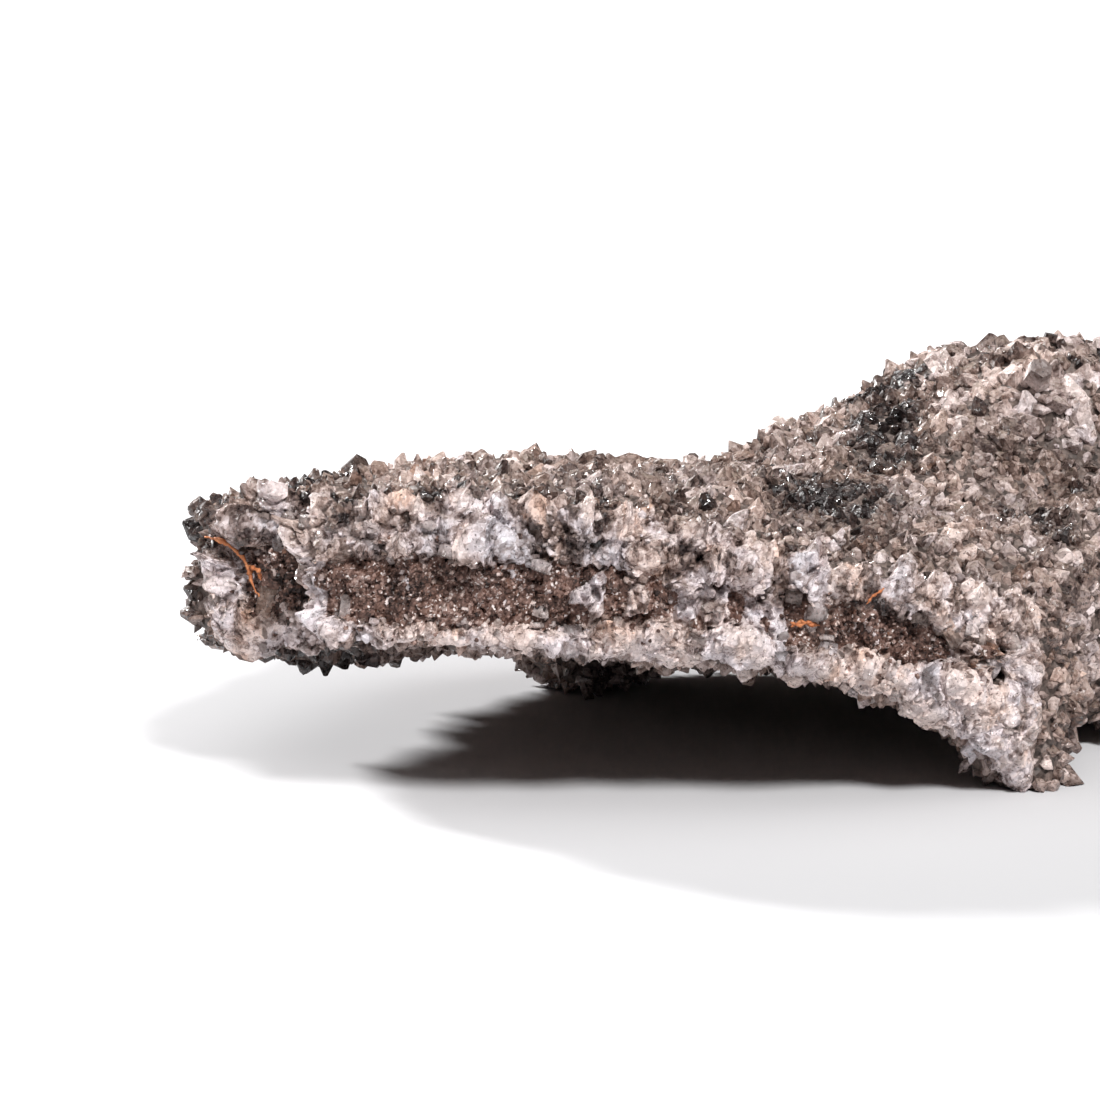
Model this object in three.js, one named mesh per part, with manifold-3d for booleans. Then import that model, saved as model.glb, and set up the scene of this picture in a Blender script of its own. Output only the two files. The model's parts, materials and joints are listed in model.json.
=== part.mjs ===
// A hand-sized specimen of petrified wood overgrown by smoky quartz. The wood is a thin dark plate.
// Quartz crystals stand on both of its sides and close round its edge, except where the specimen
// broke: there the wood shows as a dark band between two rows of crystals. The plate is arched. It
// stands on a foot at the front, a heel at the back and a thick mound at the right, and two lobes
// reach out to the left above the surface. A few fine plant rootlets cling to the broken faces.
// Millimetres. While it is drawn, x runs to the right and y to the back from the middle of the
// front edge, and z is the height above the surface that the specimen stands on.

import * as THREE from "three";
import { mergeVertices } from "three/addons/utils/BufferGeometryUtils.js";
import Module from "manifold-3d";

const wasm = await Module();
wasm.setup();

const CENTRE = new THREE.Vector2(27, 37);
const WOOD_STEPS = 72;
const GAP = 0.3;
const SHELF = 0.9;
const TILE = 300;

// The outline seen from above, counter-clockwise from the tip of the front lobe.
const OUTLINE = [
  [-21.5, 2.2], [-17, 0], [-8, -0.6], [2, 0], [13, 0.8], [24, 2.6], [33, 5], [39, 7.5], [43.5, 9.5],
  [47, 15.5], [49, 23], [51, 28.5], [56, 28], [62, 27], [69, 29.5], [76, 37], [80.5, 47], [79, 58],
  [72, 67], [61, 73], [48, 76], [35, 74], [22, 69.5], [9, 68], [-3, 66], [-13, 62], [-20, 55],
  [-24.5, 45], [-28, 36], [-30.5, 28], [-31.6, 21], [-30.4, 14.8], [-25.5, 12.6], [-20.5, 12.2],
  [-16.5, 11.2], [-16.6, 9.2], [-20.3, 5.6],
];

// Heights at places on the plan: x, y, underside, middle of the wood, half its thickness, top.
const STATIONS = [
  [-21, 3, 15.8, 20.4, 2.4, 27.6],
  [-17, 1, 15, 20.5, 2.6, 29],
  [-13, 1, 14.6, 20.5, 2.8, 29],
  [-13, 16, 13, 20, 2.6, 28.2],
  [0, 0, 14.2, 20.2, 2.8, 28.4],
  [0, 17, 12, 19, 2.6, 28.2],
  [6, 0, 13, 19.6, 2.5, 27.4],
  [13, 1, 12.8, 19, 2, 26],
  [12, 18, 11.5, 18.5, 2.4, 27],
  [22, 3, 12.1, 17.4, 2.2, 23.4],
  [24, 18, 10, 16.4, 2.2, 23.8],
  [31, 5, 8.6, 15.4, 2.1, 21],
  [37, 7, 6.4, 13.2, 1.6, 19.4],
  [42.5, 11, 3.5, 10.5, 1.4, 17.6],
  [40, 26, 4.5, 13, 2, 21.6],
  [30, 32, 6.5, 15, 2.2, 24.6],
  [48, 30, 2, 12, 1.8, 21],
  [57, 31, 2.4, 12, 1.8, 23.6],
  [68, 35, 2.6, 12, 1.8, 23.5],
  [18, 48, 6, 13.4, 2.2, 22.6],
  [26, 52, 6, 14, 2.2, 27.4],
  [34, 46, 6, 14.5, 2.2, 28.6],
  [37, 57, 5.4, 15, 2.2, 33],
  [47, 56, 5, 15, 2.2, 34.2],
  [55, 58, 4.6, 15, 2.2, 34],
  [64, 54, 3.4, 14, 2.2, 31.4],
  [72, 50, 2, 12, 2, 27.4],
  [77, 46, 2.6, 11, 1.8, 21],
  [60, 69, 4, 13, 2, 22],
  [44, 72, 4, 12, 2, 22],
  [28, 68, 3.4, 11, 2, 19.6],
  [10, 62, 2, 10, 2, 18],
  [4, 50, 5.6, 13.4, 2.2, 21.6],
  [-6, 60, 5, 12.4, 2.2, 20],
  [-5, 50, 6.6, 13.6, 2.2, 22],
  [0, 34, 9, 16.4, 2.4, 25],
  [-15, 50, 7.4, 14.4, 2.2, 22.6],
  [-14, 36, 9, 15.6, 2.2, 23],
  [-22, 42, 8.2, 15.4, 2.2, 22.8],
  [-24, 27, 7.6, 16, 2.4, 25.4],
  [-26, 14, 10.4, 19, 3.2, 27.8],
  [-31, 19, 11.2, 18.4, 2.4, 24.6],
];
const STATION_REACH = 6.5;
const FAR_WEIGHT = 1e-3;

// The crystals stand in rings round the centre: over the top, down the edge and under the plate.
// Each ring has its reach towards the outline, its height as a share of the thickness there, above
// the wood or below it, and the spacing of its crystals.
const TOP_SPACING = 3.95;
const UNDER_SPACING = 6;
const TOP_RINGS = 13;
const UNDER_RINGS = 8;
const LAST_FLAT_REACH = 0.955;
const EDGE_SHARES = [0.8, 0.42, 0.02, -0.45, -0.85];
const EDGE_REACHES = [0.995, 1.005, 1.01, 1.005, 0.99];
const RIM_POINTS = 400;
const FEWEST_IN_A_RING = 6;
const EDGE_THINNING = { share: 0.5, power: 9 };
const BROKEN_THINNING = { least: 0.75, above: 0.25, below: 0.7 };
const TYPICAL_REACH = 50;

// How far a crystal stands from its even place, and its ranges of height: where it grew freely, where
// the specimen broke through it, and how deep the valleys between crystals are.
const LOOSENESS = 0.23;
const TIP_JITTER = 0.6;
const TIP_HEIGHT = [0.2, 1.4];
const BROKEN_HEIGHT = [-0.2, 0.7];
const VALLEY_DEPTH = [0.1, 0.9];
const WALL_SLOPE = 0.6;

const WOOD_RINGS = [[0.5, 1], [1, 0.9]];

// The two broken faces, each a line on the plan that the wood reaches.
const BROKEN_FACES = [
  { from: new THREE.Vector2(-19.6, 0.4), to: new THREE.Vector2(37, 6.5), near: 3.6 },
  { from: new THREE.Vector2(-27.4, 13.2), to: new THREE.Vector2(-21, 12.4), near: 2 },
];
const WOOD_SET_BACK = 1.1;
const WOOD_COVERED = 5.2;
const INSET_STEP = 0.05;
const WINDOW_REACH = 9;

// The lumps that the specimen stands on, and the radius of the flat crystal under each.
const FEET = [
  { x: 42.8, y: 13, lump: 6, radius: 3.8 },
  { x: 3, y: 58, lump: 7, radius: 3 },
  { x: 70, y: 51, lump: 8, radius: 3.6 },
];
const LUMP_UNDERSIDE = -1.5;
const FOOT_ROOT = 6;
const COLUMN_UNEVENNESS = [0.86, 1.08];

// The dark pocket in the near side of the mound.
const POCKET = { x: 31.8, y: 43, z: 29, radius: 4.2, depth: 3.4 };

// Points that the rootlets pass, from end to end, and the radius of each.
const ROOTLETS = {
  rootlet_left_lobe: {
    radius: 0.26,
    strands: [
      [[-30.9, 13.9, 22.5], [-29.3, 13.2, 22.2], [-27.7, 13.3, 21], [-26.9, 13.6, 19.5], [-25.6, 13.4, 17.3]],
      [[-26.9, 13.6, 19.9], [-25.8, 13.4, 19.8], [-25.4, 13.4, 18.8]],
    ],
  },
  rootlet_wood_bundle: {
    radius: 0.22,
    strands: [
      [[20.9, 2.7, 17], [21.7, 2.7, 16.7], [22.6, 2.8, 16.9], [23.5, 2.9, 16.6]],
      [[21, 2.7, 16.6], [21.9, 2.7, 17], [23, 2.8, 16.6], [23.3, 2.9, 16.8]],
    ],
  },
  rootlet_upper_crust: {
    radius: 0.17,
    strands: [
      [[27.7, 3.2, 18.4], [28.2, 3.3, 19], [28.9, 3.4, 19.4], [29.3, 3.7, 19.7]],
    ],
  },
};
const ROOTLET_SIDES = 3;
const ROOTLET_STEP = 1;

// A repeatable source of numbers from 0 to 1.
function seeded(seed) {
  let state = seed;
  return () => {
    state = (state + 0x6d2b79f5) | 0;
    let mixed = Math.imul(state ^ (state >>> 15), state | 1);
    mixed ^= mixed + Math.imul(mixed ^ (mixed >>> 7), mixed | 61);
    return ((mixed ^ (mixed >>> 14)) >>> 0) / 4294967296;
  };
}

const random = seeded(7);
const between = (low, high) => low + (high - low) * random();

// The heights at any place, blended from the stations round it.
function relief(x, y) {
  const sum = [0, 0, 0, 0];
  let total = 0;
  for (const [sx, sy, ...heights] of STATIONS) {
    const distance = Math.hypot(x - sx, y - sy) / STATION_REACH;
    const weight = Math.exp(-distance * distance) + FAR_WEIGHT / (1 + distance ** 4);
    total += weight;
    heights.forEach((height, i) => (sum[i] += weight * height));
  }
  const [plain, middle, half, top] = sum.map((s) => s / total);
  const nearness = FEET.map((foot) => Math.exp(-((Math.hypot(x - foot.x, y - foot.y) / foot.lump) ** 4)));
  const under = THREE.MathUtils.lerp(plain, LUMP_UNDERSIDE, Math.max(...nearness));
  return { under, middle, half, top };
}

// The outline as a smooth closed line of evenly spaced points.
function outline(steps) {
  const line = new THREE.CatmullRomCurve3(
    OUTLINE.map(([x, y]) => new THREE.Vector3(x, y, 0)),
    true,
    "centripetal",
  );
  return line.getSpacedPoints(steps).slice(0, -1).map((p) => new THREE.Vector2(p.x, p.y));
}

function distanceToLine(point, from, to) {
  const along = to.clone().sub(from);
  const share = point.clone().sub(from).dot(along) / along.lengthSq();
  return point.distanceTo(from.clone().addScaledVector(along, THREE.MathUtils.clamp(share, 0, 1)));
}

const isBroken = (point) =>
  BROKEN_FACES.some(({ from, to, near }) => distanceToLine(point, from, to) < near);

// The outline drawn in: a little at the broken faces, and elsewhere until all of the edge is far enough away.
function insetOutline(steps, atBreak, covered) {
  const edge = outline(RIM_POINTS);
  return outline(steps).map((point) => {
    const inwards = CENTRE.clone().sub(point).normalize();
    if (isBroken(point)) return point.addScaledVector(inwards, atBreak);
    while (edge.some((rimPoint) => rimPoint.distanceTo(point) < covered)) point.addScaledVector(inwards, INSET_STEP);
    return point;
  });
}

function manifold(geometry) {
  const bare = geometry.clone();
  bare.deleteAttribute("normal");
  bare.deleteAttribute("uv");
  const merged = mergeVertices(bare, 1e-4);
  return new wasm.Manifold(
    new wasm.Mesh({
      numProp: 3,
      vertProperties: merged.attributes.position.array,
      triVerts: new Uint32Array(merged.index.array),
    }),
  );
}

function geometryOf(solid) {
  const mesh = solid.getMesh();
  const geometry = new THREE.BufferGeometry();
  geometry.setAttribute("position", new THREE.BufferAttribute(mesh.vertProperties, mesh.numProp));
  geometry.setIndex(new THREE.BufferAttribute(mesh.triVerts, 1));
  return geometry;
}

function fromLists(points, faces) {
  const geometry = new THREE.BufferGeometry();
  geometry.setAttribute("position", new THREE.Float32BufferAttribute(points.flat(), 3));
  geometry.setIndex(faces.flat());
  return geometry;
}

// A closed plate: rings of points round the centre on its top and its underside, and a wall between.
function plate(rings, heights) {
  const sides = [];
  for (const up of [1, -1]) {
    const at = (x, y, share) => [x, y, heights(x, y, share, up)];
    const points = [at(CENTRE.x, CENTRE.y, 1)];
    for (const { ring, share } of rings) ring.forEach(({ x, y }) => points.push(at(x, y, share)));
    sides.push(points);
  }
  const count = rings[0].ring.length;
  const perSide = sides[0].length;
  const faces = [];
  for (const [offset, flipped] of [[0, false], [perSide, true]]) {
    const add = (a, b, c) => faces.push(flipped ? [a, c, b] : [a, b, c]);
    for (let i = 0; i < count; i++) {
      const next = (i + 1) % count;
      add(offset, offset + 1 + i, offset + 1 + next);
      for (let ring = 1; ring < rings.length; ring++) {
        const inner = offset + 1 + (ring - 1) * count;
        const outer = inner + count;
        add(inner + i, outer + i, outer + next);
        add(inner + i, outer + next, inner + next);
      }
    }
  }
  const top = perSide - count;
  const bottom = 2 * perSide - count;
  for (let i = 0; i < count; i++) {
    const next = (i + 1) % count;
    faces.push([top + i, bottom + i, bottom + next], [top + i, bottom + next, top + next]);
  }
  return fromLists(sides.flat(), faces);
}

// How much of its full thickness the plate has at a share of the way to its rim.
const thicknessAt = (reach) => Math.sqrt(1 - EDGE_THINNING.share * reach ** EDGE_THINNING.power);

// The rings of crystals in order, from the middle of the top to the middle of the underside.
function crystalRings() {
  const flat = (count, up, spacing) =>
    Array.from({ length: count }, (_, i) => {
      const reach = (LAST_FLAT_REACH * (i + 1)) / count;
      return { reach, share: up * thicknessAt(reach), spacing };
    });
  const edge = EDGE_SHARES.map((share, i) => ({ reach: EDGE_REACHES[i], share, spacing: TOP_SPACING }));
  return [...flat(TOP_RINGS, 1, TOP_SPACING), ...edge, ...flat(UNDER_RINGS, -1, UNDER_SPACING).reverse()];
}

// A share of the thickness where the specimen broke, which left its rims less worn.
function brokenShare(share) {
  const kept = share > 0 ? BROKEN_THINNING.above : BROKEN_THINNING.below;
  return Math.abs(share) < BROKEN_THINNING.least ? Math.abs(share) : 1 - kept * (1 - Math.abs(share));
}

// A point of the stone's outside, at a share of the way round and of the way out.
function outside(rim, turn, reach, share) {
  const step = (((turn % 1) + 1) % 1) * rim.length;
  const first = Math.floor(step) % rim.length;
  const point = rim[first].clone().lerp(rim[(first + 1) % rim.length], step - Math.floor(step));
  const { x, y } = CENTRE.clone().lerp(point, reach);
  const { under, middle, top } = relief(x, y);
  const kept = isBroken(new THREE.Vector2(x, y)) ? brokenShare(share) : Math.abs(share);
  return new THREE.Vector3(x, y, middle + kept * ((share > 0 ? top : under) - middle));
}

// A triangle mesh of the outside with one point for each crystal.
function crystalSites() {
  const rim = outline(RIM_POINTS);
  const length = rim.reduce((sum, p, i) => sum + p.distanceTo(rim[(i + 1) % rim.length]), 0);
  const points = [outside(rim, 0, 0, 1)];
  const rings = crystalRings().map(({ reach, share, spacing }) => {
    const count = Math.max(FEWEST_IN_A_RING, Math.round((length * reach) / spacing));
    const start = points.length;
    const turns = Array.from({ length: count }, (_, i) => (i + between(-LOOSENESS, LOOSENESS)) / count);
    const loose = (LOOSENESS * spacing) / TYPICAL_REACH;
    turns.forEach((turn) => points.push(outside(rim, turn, reach + between(-loose, loose), share)));
    return { start, count, turns };
  });
  const last = points.push(outside(rim, 0, 0, -1)) - 1;
  const faces = [];
  const fan = (hub, { start, count }, up) => {
    for (let i = 0; i < count; i++) {
      const [a, b] = [start + i, start + ((i + 1) % count)];
      faces.push(up ? [hub, a, b] : [hub, b, a]);
    }
  };
  fan(0, rings[0], true);
  rings.slice(1).forEach((outer, r) => faces.push(...zip(rings[r], outer)));
  fan(last, rings[rings.length - 1], false);
  return { points, faces };
}

// The triangles between two neighbouring rings, whatever the number of points on each.
function zip(first, second) {
  const faces = [];
  const turnOf = ({ turns, count }, i) => turns[i % count] + Math.floor(i / count);
  const at = ({ start, count }, i) => start + (i % count);
  let [i, j] = [0, 0];
  while (i < first.count || j < second.count) {
    const firstIsNext = turnOf(first, i + 1) < turnOf(second, j + 1);
    if (j === second.count || (i < first.count && firstIsNext)) {
      faces.push([at(first, i), at(second, j), at(first, i + 1)]);
      i += 1;
    } else {
      faces.push([at(first, i), at(second, j), at(second, j + 1)]);
      j += 1;
    }
  }
  return faces;
}

// Grows a pyramid on each site. Its point stands out and the valleys between neighbours lie lower.
function crystalSkin() {
  const { points, faces } = crystalSites();
  const normals = points.map(() => new THREE.Vector3());
  const valleys = faces.map((face) => {
    const [a, b, c] = face.map((i) => points[i]);
    const normal = b.clone().sub(a).cross(c.clone().sub(a));
    face.forEach((i) => normals[i].add(normal));
    const middle = a.clone().add(b).add(c).divideScalar(3);
    return middle.addScaledVector(normal.normalize(), -between(...VALLEY_DEPTH));
  });
  const tips = points.map((point, i) => {
    const normal = normals[i].normalize();
    const brokenWall = isBroken(new THREE.Vector2(point.x, point.y)) && Math.abs(normal.z) < WALL_SLOPE;
    const height = between(...(brokenWall ? BROKEN_HEIGHT : TIP_HEIGHT));
    return point.clone().addScaledVector(normal, height).add(jitter(TIP_JITTER));
  });
  const faceWithEdge = new Map();
  faces.forEach((face, f) => face.forEach((a, k) => faceWithEdge.set(`${a} ${face[(k + 1) % 3]}`, f)));
  const skin = [];
  faces.forEach((face, f) => {
    face.forEach((a, k) => {
      const across = faceWithEdge.get(`${face[(k + 1) % 3]} ${a}`);
      skin.push([a, tips.length + across, tips.length + f]);
    });
  });
  return fromLists([...tips, ...valleys].map((p) => p.toArray()), skin);
}

const woodHeights = (margin) => (x, y, share, up) => {
  const { middle, half } = relief(x, y);
  return middle + up * (share * half + margin);
};

function woodRings() {
  const rim = insetOutline(WOOD_STEPS, WOOD_SET_BACK, WOOD_COVERED);
  return WOOD_RINGS.map(([reach, share]) => ({ ring: rim.map((p) => CENTRE.clone().lerp(p, reach)), share }));
}

const woodPlate = () => plate(woodRings(), woodHeights(0));

// The slot that the wood lies in. It keeps a gap all round and opens at the broken faces.
function woodSlot() {
  const rings = woodRings();
  const { share } = rings[rings.length - 1];
  rings.push({ ring: insetOutline(WOOD_STEPS, -WINDOW_REACH, WOOD_COVERED - GAP), share });
  return plate(rings, woodHeights(GAP));
}

// A closed six-sided column between two heights, a little uneven in section.
function column({ x, y, radius }, low, high) {
  const points = [low, high].flatMap((z) =>
    Array.from({ length: 6 }, (_, i) => {
      const angle = (Math.PI * i) / 3;
      const out = radius * between(...COLUMN_UNEVENNESS);
      return [x + out * Math.cos(angle), y + out * Math.sin(angle), z];
    }),
  );
  const faces = [];
  for (let i = 0; i < 6; i++) {
    const next = (i + 1) % 6;
    faces.push([i, next, 6 + next], [i, 6 + next, 6 + i]);
    if (i > 0 && next > 0) faces.push([0, next, i], [6, 6 + i, 6 + next]);
  }
  return fromLists(points, faces);
}

const jitter = (size) => new THREE.Vector3(between(-size, size), between(-size, size), between(-size, size));

const boxBelow = (height) => new THREE.BoxGeometry(TILE, TILE, TILE).translate(0, 0, height - TILE / 2);
const union = (geometries) => geometries.map(manifold).reduce((sum, solid) => sum.add(solid));

function rootlet({ strands, radius }, margin = 0) {
  const section = new THREE.Shape();
  section.absarc(0, 0, radius + margin, 0, 2 * Math.PI);
  return union(
    strands.map((points) => {
      const path = new THREE.CatmullRomCurve3(points.map((p) => new THREE.Vector3(...p)));
      const steps = Math.max(3, Math.round(path.getLength() / ROOTLET_STEP));
      return new THREE.ExtrudeGeometry(section, { extrudePath: path, steps, curveSegments: ROOTLET_SIDES });
    }),
  );
}

// Cuts the channels that the rootlets lie in.
const withoutRootlets = (solid) =>
  Object.values(ROOTLETS).reduce((rest, shape) => rest.subtract(rootlet(shape, GAP)), solid);

const largest = (solid) => solid.decompose().sort((a, b) => b.volume() - a.volume())[0];

function smokyQuartz() {
  const pocket = new THREE.IcosahedronGeometry(1, 1)
    .scale(POCKET.radius, POCKET.radius, POCKET.depth)
    .translate(POCKET.x, POCKET.y, POCKET.z);
  const solid = manifold(crystalSkin())
    .subtract(manifold(pocket))
    .subtract(manifold(boxBelow(SHELF)))
    .add(union(FEET.map((foot) => column(foot, 0, FOOT_ROOT))))
    .subtract(manifold(woodSlot()));
  return largest(withoutRootlets(solid));
}

const petrifiedWood = () => largest(withoutRootlets(manifold(woodPlate())));

const QUARTZ = new THREE.MeshStandardMaterial({ color: 0xa79c98, roughness: 0.4, metalness: 0 });
const WOOD = new THREE.MeshStandardMaterial({ color: 0x4a3934, roughness: 0.8, metalness: 0 });
const ROOT = new THREE.MeshStandardMaterial({ color: 0xb8713f, roughness: 0.7, metalness: 0 });

function part(name, geometry, material) {
  const mesh = new THREE.Mesh(geometry, material);
  mesh.name = name;
  return mesh;
}

const specimen = new THREE.Group();
specimen.add(part("smoky_quartz", geometryOf(smokyQuartz()), QUARTZ));
specimen.add(part("petrified_wood", geometryOf(petrifiedWood()), WOOD));
for (const [name, shape] of Object.entries(ROOTLETS)) {
  specimen.add(part(name, geometryOf(rootlet(shape)), ROOT));
}

// The frame's origin is on the surface, under the middle of the specimen's box.
const box = new THREE.Box3().setFromObject(specimen);
const middle = box.getCenter(new THREE.Vector3());
specimen.position.set(-middle.x, -middle.y, -box.min.z);

export default specimen;
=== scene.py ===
import json
import math

import bmesh
import bpy
import numpy as np
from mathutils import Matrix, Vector
from mathutils.bvhtree import BVHTree
from mathutils.kdtree import KDTree


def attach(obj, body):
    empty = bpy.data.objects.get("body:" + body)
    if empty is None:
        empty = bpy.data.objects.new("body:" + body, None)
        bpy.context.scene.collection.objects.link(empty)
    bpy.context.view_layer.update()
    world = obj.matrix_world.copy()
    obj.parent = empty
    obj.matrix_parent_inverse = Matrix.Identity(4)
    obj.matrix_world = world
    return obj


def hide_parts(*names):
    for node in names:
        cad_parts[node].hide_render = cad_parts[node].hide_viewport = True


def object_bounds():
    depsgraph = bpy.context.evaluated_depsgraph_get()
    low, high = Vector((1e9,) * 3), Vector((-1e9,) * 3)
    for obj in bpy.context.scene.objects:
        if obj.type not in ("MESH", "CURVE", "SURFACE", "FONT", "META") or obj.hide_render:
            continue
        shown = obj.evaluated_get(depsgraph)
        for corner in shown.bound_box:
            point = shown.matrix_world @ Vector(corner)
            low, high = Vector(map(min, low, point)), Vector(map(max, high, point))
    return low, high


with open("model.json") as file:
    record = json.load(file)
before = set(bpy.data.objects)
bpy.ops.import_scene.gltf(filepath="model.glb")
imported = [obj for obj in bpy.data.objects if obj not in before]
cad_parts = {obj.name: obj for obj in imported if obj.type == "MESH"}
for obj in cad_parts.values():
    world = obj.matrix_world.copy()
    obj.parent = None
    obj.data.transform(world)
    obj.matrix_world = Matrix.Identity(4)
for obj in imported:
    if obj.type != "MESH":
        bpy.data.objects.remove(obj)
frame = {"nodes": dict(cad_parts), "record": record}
cad_low, cad_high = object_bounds()

MM = 0.001
FRONT_FOOT = np.array([42.8, 13.0, 0.0])
SHIFT = np.array(frame["record"]["mounts"][0]["pos_m"]) / MM - FRONT_FOOT
ROOM = np.array([3.0, 2.0, 1.0])
rng = np.random.default_rng(11)


def between(value, low, high):
    """The value's share of the way from low to high, kept between 0 and 1."""
    return np.clip((value - low) / (high - low), 0, 1)


# Meshes as arrays

def to_frame(points):
    return (np.asarray(points, float) + SHIFT) * MM


def from_frame(points):
    return np.asarray(points, float) / MM - SHIFT


def inside_room(points):
    """The points kept within the solid's box, with the little room that crystals may take."""
    low = from_frame(cad_low) - ROOM
    high = from_frame(cad_high) + ROOM
    low[2] = 0.0
    return np.clip(points, low, high)


def make_piece(name, points, faces, material, replaces, look=None, smooth=False):
    """A mesh object from points in millimetres and triangles, declared as a piece of the specimen."""
    mesh = bpy.data.meshes.new(name)
    points = to_frame(inside_room(points))
    faces = np.asarray(faces, np.int32)
    mesh.vertices.add(len(points))
    mesh.vertices.foreach_set("co", points.astype(np.float32).ravel())
    mesh.loops.add(faces.size)
    mesh.loops.foreach_set("vertex_index", faces.ravel())
    mesh.polygons.add(len(faces))
    mesh.polygons.foreach_set("loop_start", np.arange(0, faces.size, 3, dtype=np.int32))
    mesh.polygons.foreach_set("use_smooth", np.full(len(faces), smooth))
    mesh.update(calc_edges=True)
    if look is not None:
        layer = mesh.attributes.new("look", "FLOAT_COLOR", "POINT")
        layer.data.foreach_set("color", np.clip(look, 0, 1).astype(np.float32).ravel())
    mesh.materials.append(material)
    piece = bpy.data.objects.new(name, mesh)
    bpy.context.scene.collection.objects.link(piece)
    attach(piece, "root")
    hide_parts(replaces)
    return piece


def mesh_arrays(mesh):
    """Points in drawing millimetres, normals and triangles of a mesh."""
    mesh.calc_loop_triangles()
    points = np.zeros(len(mesh.vertices) * 3, np.float32)
    mesh.vertices.foreach_get("co", points)
    normals = np.zeros(len(mesh.vertices) * 3, np.float32)
    mesh.vertices.foreach_get("normal", normals)
    faces = np.zeros(len(mesh.loop_triangles) * 3, np.int32)
    mesh.loop_triangles.foreach_get("vertices", faces)
    return from_frame(points.reshape(-1, 3)), normals.reshape(-1, 3).astype(float), faces.reshape(-1, 3)


def smoothed_body(mesh, voxel, rounds):
    """The form of a mesh with its crystal points worn down, as arrays. The mesh itself is used up."""
    copy = bpy.data.objects.new("worn_down", mesh)
    bpy.context.scene.collection.objects.link(copy)
    remesh = copy.modifiers.new("remesh", "REMESH")
    remesh.mode = "VOXEL"
    remesh.voxel_size = voxel * MM
    smooth = copy.modifiers.new("smooth", "SMOOTH")
    smooth.factor = 0.5
    smooth.iterations = rounds
    evaluated = copy.evaluated_get(bpy.context.evaluated_depsgraph_get())
    mesh = bpy.data.meshes.new_from_object(evaluated)
    arrays = mesh_arrays(mesh)
    bpy.data.objects.remove(copy)
    bpy.data.meshes.remove(mesh)
    return arrays


def tree_of(points, faces):
    return BVHTree.FromPolygons([tuple(p) for p in points], [tuple(map(int, f)) for f in faces])


def unit(vectors):
    return vectors / np.maximum(np.linalg.norm(vectors, axis=-1, keepdims=True), 1e-9)


def sample(points, normals, faces, count):
    """Random places on a mesh, even by area, with the normals there."""
    a, b, c = (points[faces[:, k]] for k in range(3))
    area = np.linalg.norm(np.cross(b - a, c - a), axis=1)
    chosen = rng.choice(len(faces), count, p=area / area.sum())
    u, v = rng.random((2, count))
    over = u + v > 1
    u[over], v[over] = 1 - u[over], 1 - v[over]
    weights = np.stack([1 - u - v, u, v], axis=1)[:, :, None]
    corners = faces[chosen]
    return (points[corners] * weights).sum(1), unit((normals[corners] * weights).sum(1))


def thinned(points, spacing):
    """The indices of places that are left when each kept one clears its surroundings."""
    spacing = np.broadcast_to(spacing, len(points))
    tree = KDTree(len(points))
    for i, p in enumerate(points):
        tree.insert(p, i)
    tree.balance()
    alive = np.ones(len(points), bool)
    kept = []
    for i in rng.permutation(len(points)):
        if not alive[i]:
            continue
        kept.append(i)
        for _, j, _ in tree.find_range(points[i], spacing[i]):
            alive[j] = False
    return np.array(kept)


def nearest(tree, points):
    """Nearest points on a mesh and the distances to them."""
    found = [tree.find_nearest(p) for p in points]
    return np.array([tuple(f[0]) for f in found]), np.array([f[3] for f in found])


def depth_outside(tree, points):
    """How far points stand out of a body; below zero they are inside it."""
    out = np.empty(len(points))
    for i, p in enumerate(points):
        place, normal, _, distance = tree.find_nearest(p)
        out[i] = math.copysign(distance, (Vector(p) - place).dot(normal))
    return out


def noise(points, size, seed):
    """Smooth noise from 0 to 1 with lumps of about the given size."""
    local = np.random.default_rng(seed)
    total = np.zeros(len(points))
    for _ in range(7):
        direction = unit(local.normal(size=3)) / size * local.uniform(1.6, 3.4)
        total += np.sin(points @ direction * 2 + local.uniform(0, 2 * math.pi))
    return 1 / (1 + np.exp(-1.1 * total))


# Crystal shapes, each a set of variants with the same faces. The axis is z from 0 to 1.

def crystal_variants(count, tip, broken):
    """Six-sided columns with uneven points, or with broken ends."""
    made = []
    for _ in range(count):
        angles = np.arange(6) * math.pi / 3 + rng.uniform(-0.16, 0.16, 6)
        wide = rng.uniform(0.8, 1.12, 6) * 0.5
        ring = np.stack([np.cos(angles) * wide, np.sin(angles) * wide], axis=1)
        root = np.column_stack([ring * rng.uniform(0.75, 1.0), np.zeros(6)])
        lean = rng.uniform(-0.12, 0.12, 2)
        shoulder = np.column_stack([ring + lean * 0.5, 1 - tip + rng.uniform(-0.16, 0.1, 6)])
        if broken:
            narrowed = ring * rng.uniform(0.35, 0.8, (6, 1))
            ends = np.column_stack([narrowed + lean, 1 + rng.uniform(-0.25, 0.05, 6)])
        else:
            blade = rng.uniform(0.0, 0.3)
            ends = np.column_stack([ring * rng.uniform(0.04, 0.1) + lean, np.full(6, 1.0)])
            ends[:, 0] += blade * np.cos(angles) * 0.5
        cap = np.array([[*ends[:, :2].mean(0), ends[:, 2].mean() + (0.0 if broken else 0.02)]])
        made.append(np.vstack([root, shoulder, ends, cap]))
    faces = []
    for ring in (0, 6):
        for i in range(6):
            j = (i + 1) % 6
            faces += [(ring + i, ring + j, ring + 6 + j), (ring + i, ring + 6 + j, ring + 6 + i)]
    faces += [(12 + i, 12 + (i + 1) % 6, 18) for i in range(6)]
    faces += [(0, i + 1, i) for i in range(1, 5)]
    return np.array(made), np.array(faces)


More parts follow.
